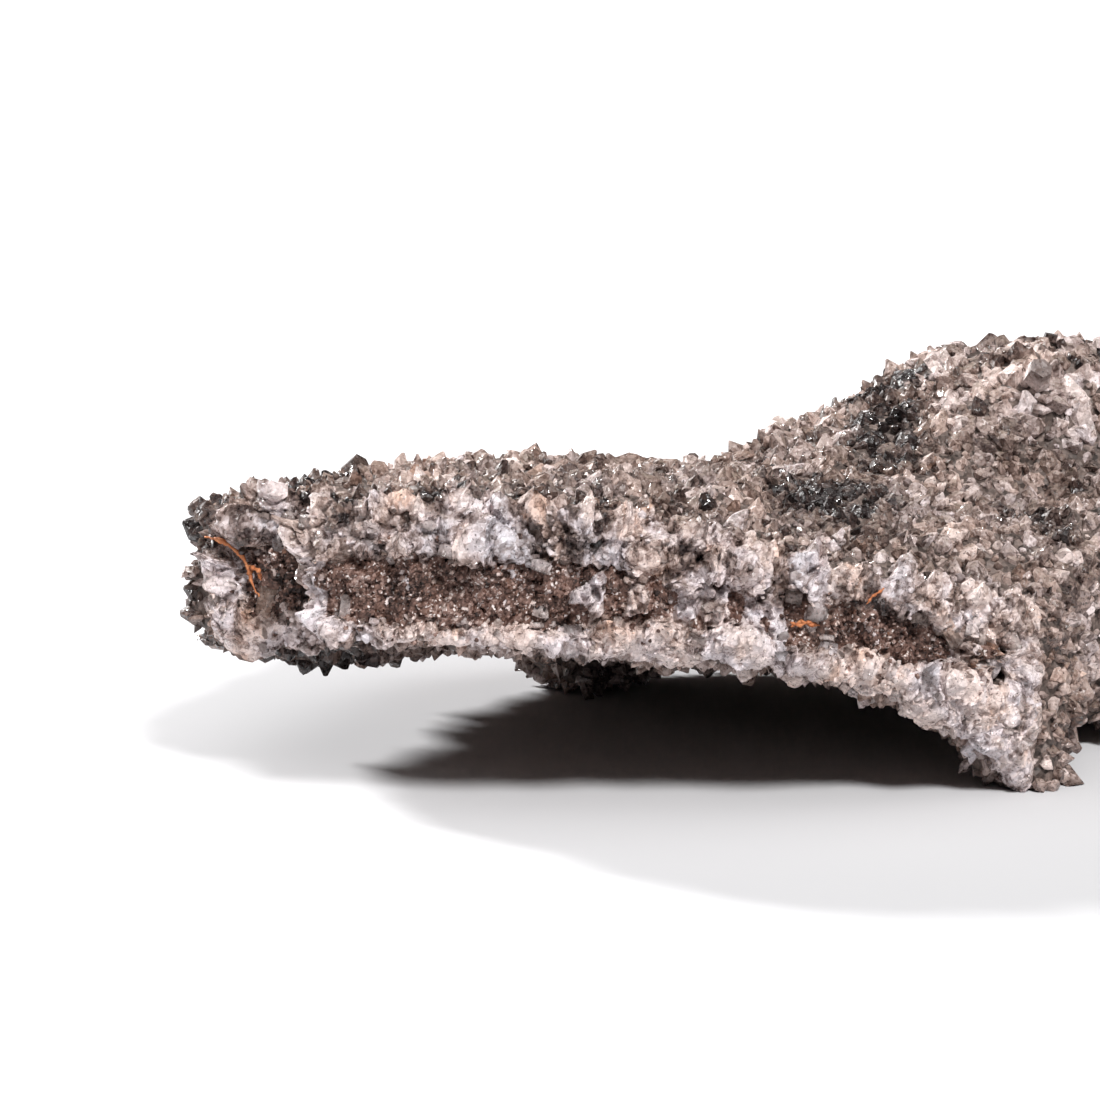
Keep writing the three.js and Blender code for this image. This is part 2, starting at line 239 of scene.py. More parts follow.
def lump_variants(count, level, planes, roughness):
    """Rounded stones cut by flat faces. The body is centred on half of its height."""
    ball = bmesh.new()
    bmesh.ops.create_icosphere(ball, subdivisions=level, radius=1.0)
    directions = unit(np.array([v.co[:] for v in ball.verts]))
    faces = np.array([[v.index for v in f.verts] for f in ball.faces])
    ball.free()
    made = []
    for _ in range(count):
        normals = unit(rng.normal(size=(planes, 3)))
        offsets = rng.uniform(0.32, 0.5, planes)
        reach = offsets / np.maximum(directions @ normals.T, 0.08)
        uneven = rng.uniform(1 - roughness, 1 + roughness, len(directions))
        radius = np.minimum(reach.min(1), 0.62) * uneven
        made.append(directions * radius[:, None] + (0, 0, 0.5))
    return np.array(made), faces


def frames_along(axes):
    """Two directions square to each axis, turned at random about it."""
    helper = np.where(np.abs(axes[:, 2:3]) > 0.9, (1.0, 0, 0), (0, 0, 1.0))
    side = unit(np.cross(helper, axes))
    other = np.cross(axes, side)
    turn = rng.uniform(0, 2 * math.pi, (len(axes), 1))
    first = side * np.cos(turn) + other * np.sin(turn)
    second = other * np.cos(turn) - side * np.sin(turn)
    return first, second


def scatter(variants, roots, axes, wide, long, tone, hue):
    """Copies of the variants at the roots along the axes: points, faces and the look of each point."""
    shapes, faces = variants
    count = len(roots)
    axes = unit(axes)
    side, other = frames_along(axes)
    flat = rng.uniform(0.72, 1.0, (count, 1, 1))
    local = shapes[rng.integers(0, len(shapes), count)]
    wide = np.broadcast_to(wide, count)[:, None, None]
    long = np.broadcast_to(long, count)[:, None, None]
    points = (
        roots[:, None, :]
        + local[:, :, 0:1] * wide * side[:, None, :]
        + local[:, :, 1:2] * wide * flat * other[:, None, :]
        + local[:, :, 2:3] * long * axes[:, None, :]
    )
    size = shapes.shape[1]
    all_faces = (faces[None] + (np.arange(count) * size)[:, None, None]).reshape(-1, 3)
    look = np.ones((count, size, 4))
    look[:, :, 0] = np.broadcast_to(tone, count)[:, None]
    look[:, :, 1] = np.broadcast_to(hue, count)[:, None]
    look[:, :, 2] = local[:, :, 2]
    look[:, :, 3] = rng.random(count)[:, None]
    return points.reshape(-1, 3), all_faces, look.reshape(-1, 4)


def together(parts):
    """Several sets of points, faces and looks as one."""
    start = 0
    points, faces, looks = [], [], []
    for p, f, look in parts:
        points.append(p)
        faces.append(f + start)
        looks.append(look)
        start += len(p)
    return np.vstack(points), np.vstack(faces), np.vstack(looks)


# Materials

class Nodes:
    """A short way to write a node material."""

    TO_MM = (1000, 1000, 1000)

    def __init__(self, name):
        self.material = bpy.data.materials.new(name)
        self.material.use_nodes = True
        self.tree = self.material.node_tree
        self.tree.nodes.clear()

    def add(self, kind, values=(), **settings):
        made = self.tree.nodes.new("ShaderNode" + kind)
        for key, value in settings.items():
            setattr(made, key, value)
        for key, value in dict(values).items():
            if isinstance(value, bpy.types.NodeSocket):
                self.tree.links.new(value, made.inputs[key])
            else:
                made.inputs[key].default_value = value
        return made

    def maths(self, operation, first, second=0.0, clamp=False):
        return self.add("Math", {0: first, 1: second}, operation=operation, use_clamp=clamp).outputs[0]

    def ramp(self, factor, stops):
        made = self.add("ValToRGB", {0: factor})
        elements = made.color_ramp.elements
        while len(elements) < len(stops):
            elements.new(0.5)
        for element, (place, colour) in zip(elements, stops):
            element.position = place
            element.color = (*colour, 1.0)
        return made.outputs[0]

    def times(self, first, second):
        return self.maths("MULTIPLY", first, second)

    def blend_in(self, total, parts, middle=0.0):
        """The total with each part's distance from the middle added by its share."""
        for part, share in parts:
            offset = self.maths("SUBTRACT", part, middle) if middle else part
            total = self.maths("ADD", total, self.times(offset, share))
        return total

    def share(self, value, low, high):
        """The same as between, for a material."""
        made = self.add("MapRange", {0: value, 1: low, 2: high, 3: 0.0, 4: 1.0}, clamp=True)
        return made.outputs[0]

    def mix(self, factor, first, second, blend="MIX"):
        made = self.add("Mix", data_type="RGBA", blend_type=blend)
        for socket, value in ((made.inputs[0], factor), (made.inputs[6], first), (made.inputs[7], second)):
            if isinstance(value, bpy.types.NodeSocket):
                self.tree.links.new(value, socket)
            elif isinstance(value, tuple):
                socket.default_value = (*value, 1.0)
            else:
                socket.default_value = value
        return made.outputs[2]

    def place(self):
        """The place on the object in millimetres."""
        coordinates = self.add("TexCoord").outputs["Object"]
        return self.add("VectorMath", {0: coordinates, 1: self.TO_MM}, operation="MULTIPLY").outputs[0]

    def noise(self, place, scale, detail=3.0, roughness=0.55):
        values = {"Vector": place, "Scale": scale, "Detail": detail, "Roughness": roughness}
        return self.add("TexNoise", values).outputs[0]

    def finish(self, shader):
        self.add("OutputMaterial", {"Surface": shader})
        return self.material


def facets(n, place, scale):
    """Grains with flat faces turned every way: their height in millimetres and a random number each."""
    cells = n.add("TexVoronoi", {"Vector": place, "Scale": scale, "Randomness": 1.0})
    offset = n.add("VectorMath", {0: place, 1: cells.outputs["Position"]}, operation="SUBTRACT").outputs[0]
    centred = {0: cells.outputs["Color"], 1: (0.5, 0.5, 0.5)}
    turned = n.add("VectorMath", centred, operation="SUBTRACT").outputs[0]
    height = n.add("VectorMath", {0: offset, 1: turned}, operation="DOT_PRODUCT").outputs["Value"]
    return height, n.add("SeparateColor", {0: cells.outputs["Color"]}).outputs[1]


# Grains of the quartz to the millimetre, and the colours of what lies on it, with the painted shade at the
# roots and in the creases
LARGE_GRAINS = 0.75
MIDDLE_GRAINS = 1.7
SMALL_GRAINS = 3.6
DUST = (0.23, 0.18, 0.14)
DIRT_AND_SHADE_AT_ROOTS = (0.060, 0.040, 0.032)
CREASE_SHADE = (0.11, 0.078, 0.066)
SPECKS = (0.017, 0.012, 0.012)
QUARTZ_IOR = 1.544


def quartz_material(name, cloudy, faceted, clear=0.0, milky=0.0):
    """Quartz from dark smoky to milky by the tone of each crystal, with dust and dark specks, dirt and
    painted shade at the roots of the crystals, and for milky quartz painted shade in the creases between
    grains.
    """
    n = Nodes(name)
    place = n.place()
    look = n.add("Attribute", attribute_name="look")
    split = n.add("SeparateColor", {0: look.outputs["Color"]})
    tone, hue, tip = split.outputs[0], split.outputs[1], split.outputs[2]
    cloud = n.noise(place, 0.55, 4.0, 0.6)
    grain = n.noise(place, 2.4, 5.0, 0.68)
    fine = n.noise(place, 8.0, 3.0, 0.6)
    upright = n.add("VectorMath", {0: place, 1: (4.0, 4.0, 0.9)}, operation="MULTIPLY").outputs[0]
    streak = n.noise(upright, 1.0, 3.0, 0.6)
    large, large_tone = facets(n, place, LARGE_GRAINS)
    middle, middle_tone = facets(n, place, MIDDLE_GRAINS)
    small, small_tone = facets(n, place, SMALL_GRAINS)
    parts = (
        (cloud, 0.24), (grain, 0.24), (streak, 0.16), (fine, 0.20),
        (large_tone, 0.24 * faceted), (middle_tone, 0.28 * faceted), (small_tone, 0.20 * faceted),
    )
    tone = n.maths("ADD", n.blend_in(tone, parts, 0.5), 0.0, clamp=True)
    body = n.ramp(tone, [
        (0.0, (0.012, 0.007, 0.007)),
        (0.22, (0.062, 0.040, 0.036)),
        (0.45, (0.205, 0.152, 0.134)),
        (0.70, (0.440, 0.360, 0.340)),
        (1.0, (0.80, 0.72, 0.71)),
    ])
    tint = n.ramp(n.blend_in(hue, [(cloud, 0.3)], 0.5), [
        (0.0, (0.88, 0.93, 1.0)),
        (0.35, (0.98, 0.96, 0.99)),
        (0.6, (1.0, 0.93, 0.89)),
        (0.82, (1.0, 0.87, 0.79)),
        (1.0, (1.0, 0.73, 0.56)),
    ])
    colour = n.mix(1.0, body, tint, "MULTIPLY")
    up = n.add("SeparateXYZ", {0: n.add("NewGeometry").outputs["Normal"]}).outputs[2]
    dust = n.times(n.share(up, 0.15, 0.8), n.share(n.noise(place, 1.1, 4.0, 0.7), 0.42, 0.62))
    dust = n.times(dust, n.share(tip, 0.25, 0.8))
    dust = n.times(dust, n.share(tone, 0.12, 0.34))
    colour = n.mix(n.times(dust, 0.6), colour, DUST)
    # Dirt and painted shade: darker towards the roots, where the crystals sink into the bed.
    root = n.share(tip, 0.32, 0.0)
    colour = n.mix(n.times(root, 0.7), colour, DIRT_AND_SHADE_AT_ROOTS)
    if milky:
        values = {"Vector": place, "Scale": MIDDLE_GRAINS, "Randomness": 1.0}
        edges = n.add("TexVoronoi", values, feature="DISTANCE_TO_EDGE").outputs["Distance"]
        # Painted shade in the creases along the edges of the grains.
        crease_shade = n.times(n.share(edges, 0.055, 0.0), n.share(grain, 0.42, 0.62))
        colour = n.mix(n.times(crease_shade, 0.6), colour, CREASE_SHADE)
    speck = n.share(n.noise(place, 3.4, 2.0, 0.5), 0.665, 0.70)
    colour = n.mix(n.times(speck, 0.85), colour, SPECKS)
    glassy = n.share(small_tone, 0.34, 0.24)
    roughness = n.add("MapRange", {0: grain, 1: 0.35, 2: 0.65, 3: 0.25, 4: 0.65}).outputs[0]
    roughness = n.maths("SUBTRACT", roughness, n.times(glassy, 0.5), clamp=True)
    roughness = n.maths("ADD", roughness, n.times(dust, 0.35), clamp=True)
    roughness = n.maths("MAXIMUM", roughness, 0.08)
    height = n.blend_in(n.times(large, cloudy), [
        (middle, 0.85), (small, 0.55), (grain, 0.04), (fine, 0.02), (streak, 0.05),
    ])
    bump = n.add("Bump", {"Strength": 1.0, "Distance": MM, "Height": height})
    values = {"Base Color": colour, "Roughness": roughness, "Normal": bump.outputs[0], "IOR": QUARTZ_IOR}
    if clear:
        values["Transmission Weight"] = clear
    if milky:
        values["Subsurface Weight"] = milky
        values["Subsurface Radius"] = (1.0, 0.85, 0.8)
        values["Subsurface Scale"] = 0.5 * MM
    shader = n.add("BsdfPrincipled", values, subsurface_method="BURLEY")
    return n.finish(shader.outputs[0])


def wood_material():
    """Dark sugary grains with glints, from their gloss and from a few crumbs painted bright, rusty in
    places.
    """
    n = Nodes("petrified_wood")
    place = n.place()
    look = n.add("Attribute", attribute_name="look")
    split = n.add("SeparateColor", {0: look.outputs["Color"]})
    cloud = n.noise(place, 0.7, 4.0, 0.6)
    fine = n.noise(place, 6.0, 4.0, 0.65)
    grain, grain_tone = facets(n, place, 2.8)
    crumb, crumb_tone = facets(n, place, 5.0)
    parts = [(cloud, 0.5), (fine, 0.35), (grain_tone, 0.34), (crumb_tone, 0.30)]
    tone = n.blend_in(split.outputs[0], parts, 0.5)
    # A few crumbs painted bright, as glints.
    tone = n.maths("ADD", tone, n.times(n.share(crumb_tone, 0.93, 0.94), 0.30), clamp=True)
    body = n.ramp(tone, [
        (0.0, (0.012, 0.006, 0.005)),
        (0.3, (0.062, 0.029, 0.021)),
        (0.6, (0.185, 0.100, 0.077)),
        (0.85, (0.38, 0.265, 0.23)),
        (1.0, (0.80, 0.72, 0.69)),
    ])
    rust = n.times(n.share(split.outputs[1], 0.3, 1.0), n.share(cloud, 0.5, 0.72))
    colour = n.mix(rust, body, n.mix(fine, (0.13, 0.045, 0.018), (0.40, 0.17, 0.075)))
    height = n.blend_in(n.times(grain, 0.8), [(crumb, 0.7), (fine, 0.06)])
    bump = n.add("Bump", {"Strength": 1.0, "Distance": MM, "Height": height})
    roughness = n.add("MapRange", {0: grain_tone, 1: 0.10, 2: 0.22, 3: 0.22, 4: 0.7}).outputs[0]
    values = {"Base Color": colour, "Roughness": roughness, "Normal": bump.outputs[0], "IOR": 1.54}
    return n.finish(n.add("BsdfPrincipled", values).outputs[0])


def bed_material(name, dark, light):
    """What shows in the gaps between crystals, painted dark for the shade there: small facets from dark to
    light.
    """
    n = Nodes(name)
    place = n.place()
    grain = n.noise(place, 1.8, 6.0, 0.7)
    fine = n.noise(place, 8.0, 4.0, 0.6)
    large, large_tone = facets(n, place, 1.3)
    small, small_tone = facets(n, place, 2.9)
    tone = n.blend_in(n.times(large_tone, 0.35), [(small_tone, 0.30), (n.maths("ADD", grain, fine), 0.18)])
    brightest = tuple(min(1.0, 2.2 * c) for c in light)
    colour = n.ramp(tone, [(0.2, dark), (0.55, light), (0.85, brightest)])
    height = n.blend_in(large, [(small, 0.8)])
    bump = n.add("Bump", {"Strength": 1.0, "Distance": MM, "Height": height})
    values = {"Base Color": colour, "Roughness": 0.6, "Normal": bump.outputs[0]}
    return n.finish(n.add("BsdfPrincipled", values).outputs[0])


def rootlet_material():
    """Dry orange plant fibre."""
    n = Nodes("rootlet")
    place = n.place()
    blotch = n.noise(place, 1.6, 4.0, 0.6)
    fine = n.noise(place, 12.0, 3.0, 0.6)
    colour = n.ramp(blotch, [
        (0.3, (0.20, 0.055, 0.02)),
        (0.5, (0.52, 0.17, 0.06)),
        (0.75, (0.74, 0.33, 0.15)),
    ])
    bump = n.add("Bump", {"Strength": 0.6, "Distance": 0.1 * MM, "Height": fine})
    values = {"Base Color": colour, "Roughness": 0.62, "Normal": bump.outputs[0]}
    return n.finish(n.add("BsdfPrincipled", values).outputs[0])


QUARTZ = quartz_material("smoky_quartz", 0.3, 0.8)
MILKY = quartz_material("milky_quartz", 0.7, 1.1, milky=0.06)
ICY = quartz_material("icy_quartz", 0.3, 0.8, clear=0.45)
WOOD = wood_material()
# Both beds are painted dark, as the shade in the gaps between crystals.
QUARTZ_BED_IN_SHADE = bed_material("quartz_bed_in_shade", (0.022, 0.015, 0.012), (0.125, 0.092, 0.079))
WOOD_BED_IN_SHADE = bed_material("wood_bed_in_shade", (0.010, 0.006, 0.005), (0.040, 0.022, 0.016))
ROOTLET = rootlet_material()

# The two beds that everything grows on, painted dark for the shade in the gaps between crystals

def grown_together(bodies):
    """One mesh in the frame's metres with all the given bodies, each as points and triangles."""
    merged = bmesh.new()
    for points, faces in bodies:
        corners = [merged.verts.new(p) for p in to_frame(points)]
        for face in faces:
            merged.faces.new([corners[i] for i in face])
    mesh = bpy.data.meshes.new("grown_together")
    merged.to_mesh(mesh)
    merged.free()
    return mesh


def worn_solid(node, voxel, rounds):
    return smoothed_body(frame["nodes"][node].data.copy(), voxel, rounds)


WOOD_SWELLS = 0.5
BED_SINKS = 0.1

quartz = worn_solid("smoky_quartz", 0.6, 9)
wood = worn_solid("petrified_wood", 0.45, 3)
swollen_wood = wood[0] + wood[1] * WOOD_SWELLS
whole = smoothed_body(grown_together([(quartz[0], quartz[2]), (swollen_wood, wood[2])]), 0.62, 4)
quartz_tree = tree_of(quartz[0], quartz[2])
wood_tree = tree_of(wood[0], wood[2])
whole_tree = tree_of(whole[0], whole[2])

points, normals, faces = worn_solid("smoky_quartz", 0.8, 6)
points -= normals * BED_SINKS
make_piece("quartz_bed_in_shade", points, faces, QUARTZ_BED_IN_SHADE, "smoky_quartz", smooth=True)
points, normals, faces = worn_solid("petrified_wood", 0.7, 2)
make_piece("wood_bed_in_shade", points, faces, WOOD_BED_IN_SHADE, "petrified_wood", smooth=True)

# The broken faces, as lines on the plan with their reach to each side: the front and the left lobe
BROKEN_LINES = [((-20.5, 0.8), (40.0, 7.0), 4.2), ((-28.5, 13.6), (-21.0, 12.4), 2.6)]


def line_distance(points, start, end):
    start, end = np.array(start), np.array(end)
    along = end - start
    share = np.clip(((points[:, :2] - start) @ along) / (along @ along), 0, 1)
    return np.linalg.norm(points[:, :2] - (start + share[:, None] * along), axis=1)


def brokenness(points, normals):
    """From 0 to 1 where the specimen broke and its inside shows."""
    close = np.zeros(len(points))
    for start, end, reach in BROKEN_LINES:
        away = line_distance(points, start, end)
        close = np.maximum(close, between(away, 1.1 * reach, 0.7 * reach))
    steepest = 0.82 + 0.4 * (noise(points, 2.2, 51) - 0.5)
    facing = between(np.abs(normals[:, 2]), steepest, steepest - 0.25)
    return close * facing * (normals[:, 1] < 0.35)


class Places:
    """Places on the quartz bed, with what is known about each."""

    BESIDE_ROOTLETS = 1.3
    BESIDE_WOOD = 0.3
    ON_FACES_OF_WOOD = 0.75
    ABOVE_FLOOR = 0.3

    def __init__(self, candidates, spacing, wanted):
        points, normals = sample(*quartz, candidates)
        near, distance = nearest(wood_tree, points)
        broken = brokenness(points, normals)
        good = (distance >= self.ON_FACES_OF_WOOD) | (np.abs(normals[:, 2]) <= 0.6)
        good &= (distance > self.BESIDE_WOOD) & (points[:, 2] > self.ABOVE_FLOOR)
        good &= (rootlet_distance(points) > self.BESIDE_ROOTLETS) & wanted(points, normals, broken)
        kept = np.flatnonzero(good)[thinned(points[good], spacing)]
        self.points, self.normals = points[kept], normals[kept]
        self.distance, self.broken = distance[kept], broken[kept]
        self.above = np.where(self.points[:, 2] > near[kept, 2], 1.0, -1.0)
        self.count = len(kept)

    def range(self, low, high):
        return rng.uniform(low, high, self.count)


# Where the crust differs from its surroundings: x, y, z, radius, what is added to tone and to hue. Dark
# spots mark pits, holes and hollows, darkened partly by painted shade and partly by dark smoky quartz.
SPOTS = np.array([
    # The left lobe: its brown upper crust, milky patches and painted shade on its underside
    (-29.1, 14.5, 20.6, 1.7, -0.12, 0.12),
    (-24.5, 12.5, 23.8, 1.6, 0.3, -0.2),
    (-29.8, 14.2, 17.8, 1.2, 0.25, -0.1),
    (-30.4, 14.8, 17.3, 0.6, -0.25, 0.3),
    (-31.2, 15.4, 15.6, 0.8, 0.35, 0.0),
    (-29.8, 16.1, 13.1, 1.4, -0.15, 0.15),
    (-26.0, 13.3, 13.5, 1.2, -0.1, 0.1),
    (-23.3, 13.3, 13.9, 0.7, 0.35, -0.1),
    (-20.3, 27.0, 8.5, 6.0, -0.35, 0.1),
    (-25.1, 12.7, 10.6, 2.4, -0.2, 0.1),
    (-26.1, 13.2, 24.4, 3.4, -0.24, 0.06),
    (-29.7, 13.2, 14.6, 3.0, 0.1, 0.0),
    # The front: holes along the rim, dark partly with painted shade and partly with smoky quartz, pale
    # lumps, lavender and milky patches, the step in the middle
    (-21.0, 3.0, 25.4, 1.5, 0.0, 0.2),
    (-17.5, 0.3, 28.1, 0.9, -0.75, 0.0),
    (-17.4, 0.6, 26.3, 0.85, -0.75, 0.0),
    (-15.6, 0.6, 25.9, 1.2, 0.25, -0.05),
    (-16.1, 2.0, 29.0, 0.9, 0.35, 0.2),
    (-12.6, 0.1, 27.1, 1.8, 0.12, 0.08),
    (-10.0, -0.2, 25.6, 2.3, 0.06, -0.35),
    (-7.4, 1.6, 29.3, 1.1, -0.35, 0.0),
    (-9.5, 1.2, 28.6, 1.3, -0.8, 0.0),
    (-2.0, 1.4, 28.0, 0.9, -0.6, 0.0),
    (-3.9, -0.3, 25.6, 2.4, 0.14, -0.3),
    (1.7, 0.4, 24.0, 0.8, -0.75, 0.1),
    (1.6, 0.2, 25.8, 0.8, -0.8, 0.1),
    (1.6, -0.3, 27.5, 0.9, -0.8, 0.1),
    (4.4, 0.4, 24.8, 0.8, -0.7, 0.1),
    (4.5, 0.2, 26.2, 0.7, -0.6, 0.1),
    (2.9, 0.5, 25.0, 0.7, -0.35, -0.1),
    (6.8, 1.0, 23.4, 1.9, 0.2, -0.25),
    (10.2, 0.7, 21.7, 0.7, -0.6, 0.1),
    (13.6, 1.4, 23.1, 0.9, -0.45, 0.15),
    (13.5, 1.8, 19.9, 2.0, 0.28, 0.0),
    (15.3, 1.4, 22.2, 0.8, -0.25, -0.15),
    (19.4, 2.7, 21.9, 1.4, 0.05, 0.12),
    (24.5, 5.2, 21.9, 1.5, 0.3, 0.05),
    (36.2, 6.3, 16.8, 2.1, 0.3, -0.05),
    (15.4, 2.0, 18.9, 3.5, 0.1, 0.0),
    (31.3, 3.0, 11.5, 3.5, -0.07, 0.02),
    # The front foot and the broken edge above it
    (38.0, 8.6, 11.0, 0.7, -0.6, 0.0),
    (45.1, 11.3, 12.2, 0.7, -0.55, 0.0),
    (39.2, 12.1, 2.0, 1.8, -0.15, 0.12),
    (44.2, 9.9, 2.8, 2.2, 0.22, 0.05),
    (41.0, 4.0, 5.1, 5.0, 0.09, 0.0),
    # The top and the mound: painted shade under the overhanging ledge, dark hollows of painted shade and
    # smoky quartz, pale lumps, one partly a painted highlight
    (22.6, 23.1, 24.8, 2.2, -0.7, 0.0),
    (25.6, 22.9, 24.4, 2.3, -0.8, 0.0),
    (28.4, 23.4, 23.7, 2.4, -0.7, 0.0),
    (33.1, 31.7, 24.5, 1.6, 0.3, 0.0),
    (32.2, 45.6, 27.2, 3.4, -0.8, 0.0),
    (41.7, 31.6, 21.9, 1.2, -0.6, 0.0),
    (44.8, 30.0, 21.1, 1.4, -0.55, 0.0),
    (47.0, 26.4, 20.5, 1.4, -0.55, 0.0),
    (47.9, 17.9, 17.8, 1.1, -0.5, 0.0),
    (50.1, 30.0, 21.3, 2.2, 0.3, 0.05),
    (49.9, 26.5, 14.4, 2.2, 0.3, 0.05),
    (50.0, 26.7, 7.8, 2.2, 0.25, 0.05),
    (27.4, 52.4, 28.7, 3.0, 0.2, 0.0),
    (42.9, 48.5, 31.2, 3.0, 0.2, 0.0),
    (32.4, 56.1, 32.0, 2.2, -0.35, 0.0),
    (38.4, 38.6, 26.3, 1.2, -0.05, 0.35),
    (47.3, 43.2, 28.6, 2.4, 0.2, 0.05),
    (50.1, 37.2, 21.9, 1.8, -0.4, 0.0),
    (40.0, 20.0, 24.0, 8.0, 0.12, 0.0),
])


FRONT_REACHES = 15
LONGER_BEHIND = 0.3


def spot_weight(points, spot):
    """How strongly a spot colours each point. Behind the front, seen aslant, it is longer."""
    away = points - spot[:3]
    if spot[1] > FRONT_REACHES:
        away[:, 1] *= LONGER_BEHIND
    return np.exp(-(away**2).sum(1) / spot[3] ** 2)


def on_mound(x, y, z):
    """From 0 at the foot of the mound to 1 on it."""
    return between(z, 24, 28) * (y > 30)


def tone_and_hue(places, uneven=0.11):
    """The look of quartz at each place: dusty and brown on top, milky where it is broken, with painted
    shade on the left lobe and in its corner, and painted light on broken crust below the wood.
    """
    p, broken = places.points, places.broken
    x, y, z = p.T
    patches = (0.22 + 0.36 * on_mound(x, y, z)) * (noise(p, 4.2, 3) - 0.5)
    tone = 0.50 + patches + 0.22 * (noise(p, 1.8, 4) - 0.5)
    tone += rng.normal(0, 1, places.count) * uneven * (1 - 0.4 * broken)
    hue = 0.60 + 0.3 * (noise(p, 7.0, 5) - 0.5) + rng.normal(0, 1, places.count) * uneven * 0.65
    lower = places.above < 0
    mixed = between(x, 3, 9) * ~lower
    # Broken crust below the wood is lighter, partly for its whiter quartz and partly as painted light on
    # faces that turn down.
    tone += broken * (0.25 + 0.30 * lower - 0.11 * mixed)
    hue -= broken * (0.19 - 0.05 * lower - 0.14 * mixed)
    tone += broken * (0.30 * (noise(p, 1.5, 9) - 0.5) + (0.16 + 0.2 * mixed) * (noise(p, 2.8, 10) - 0.5))
    hue += broken * 0.3 * (noise(p, 3.4, 12) - 0.5)
    tone += 0.05 * between(x, 34, 38) * (1 - broken)
    rim = between(z, 25, 27) * between(y, 9, 5) * (1 - broken)
    tone -= 0.38 * rim * between(noise(p, 1.3, 8), 0.52, 0.72)
    behind = np.exp(-(((x + 13) / 6) ** 2)) * between(y, 6, 9) * (z > 24)
    # Darker left lobe: partly its smoky quartz, partly painted shade. The corner where it meets the front
    # lobe is darkened with painted shade.
    left = between(x, -19, -21) * (y > 9.5)
    corner = np.exp(-(((x + 20.5) / 3.0) ** 2)) * (y > 9.0) * (x < -17)
    fringe = broken * between(places.distance, 1.9, 0.7)
    tone += 0.14 * behind - 0.18 * left - 0.28 * corner - 0.16 * fringe
    hue += 0.12 * behind + 0.05 * left + 0.18 * fringe
    for spot in SPOTS:
        weight = spot_weight(p, spot)
        tone += weight * spot[4]
        hue += weight * spot[5]
    return tone, hue


# Rootlets: the radius and the strands, each by the same points as the solid's
ROOTLETS = {
    "rootlet_left_lobe": (0.24, [
        [(-30.9, 13.9, 22.5), (-29.3, 13.2, 22.2), (-27.7, 13.3, 21.0),
         (-26.9, 13.6, 19.5), (-25.6, 13.4, 17.3)],
        [(-26.9, 13.6, 19.9), (-25.8, 13.4, 19.8), (-25.4, 13.4, 18.8)],
    ]),
    "rootlet_wood_bundle": (0.19, [
        [(20.9, 2.7, 17.0), (21.7, 2.7, 16.7), (22.6, 2.8, 16.9), (23.5, 2.9, 16.6)],
        [(21.0, 2.7, 16.6), (21.9, 2.7, 17.0), (23.0, 2.8, 16.6), (23.3, 2.9, 16.8)],
    ]),
    "rootlet_upper_crust": (0.14, [
        [(27.7, 3.2, 18.4), (28.2, 3.3, 19.0), (28.9, 3.4, 19.4), (29.3, 3.7, 19.7)],
    ]),
}
STRAND_SIDES = 10
STRAND_CLEARS = 0.35


def smooth_line(points, steps):
    """A line of evenly numbered points through the given ones."""
    points = np.array(points, float)
    padded = np.vstack([2 * points[0] - points[1], points, 2 * points[-1] - points[-2]])
    out = []
    for i in range(len(points) - 1):
        a, b, c, d = padded[i:i + 4]
        for t in np.linspace(0, 1, steps, endpoint=False):
            bend = (2 * a - 5 * b + 4 * c - d) * t**2 + (3 * b - 3 * c + d - a) * t**3
            out.append(0.5 * (2 * b + (c - a) * t + bend))
    out.append(points[-1])
    return np.array(out)


# Shares of the band that quartz covers, at places along x.
COVER = (
    (-24, 0.7), (-20.5, 1.0), (-18.8, 0.0), (0.4, 0.0), (2.5, 0.45), (9, 0.4), (11.5, 0.97),
    (18, 0.95), (20, 0.55), (23, 0.3), (25, 0.0), (33, 0.05), (35.5, 0.9), (45, 1.0),
)


def covering(points):
    """How much of the wood is hidden at each point. At the right only the lower half of the band shows."""
    cover = np.interp(points[:, 0], *zip(*COVER)) * (points[:, 1] < 10)
    upper = between(points[:, 2], 19.0, 19.8) * between(points[:, 0], 22, 23.5)
    return np.maximum(cover, 0.9 * upper)


def rootlet_distance(points):
    """Distances from points to the nearest rootlet."""
    line = np.vstack([smooth_line(strand, 6) for _, strands in ROOTLETS.values() for strand in strands])
    return np.sqrt(((points[:, None] - line) ** 2).sum(-1).min(1))


def is_below_wood(points):
    """Whether each point lies below the band of the wood."""
    near, _ = nearest(wood_tree, points)
    return points[:, 2] < near[:, 2] - 0.2


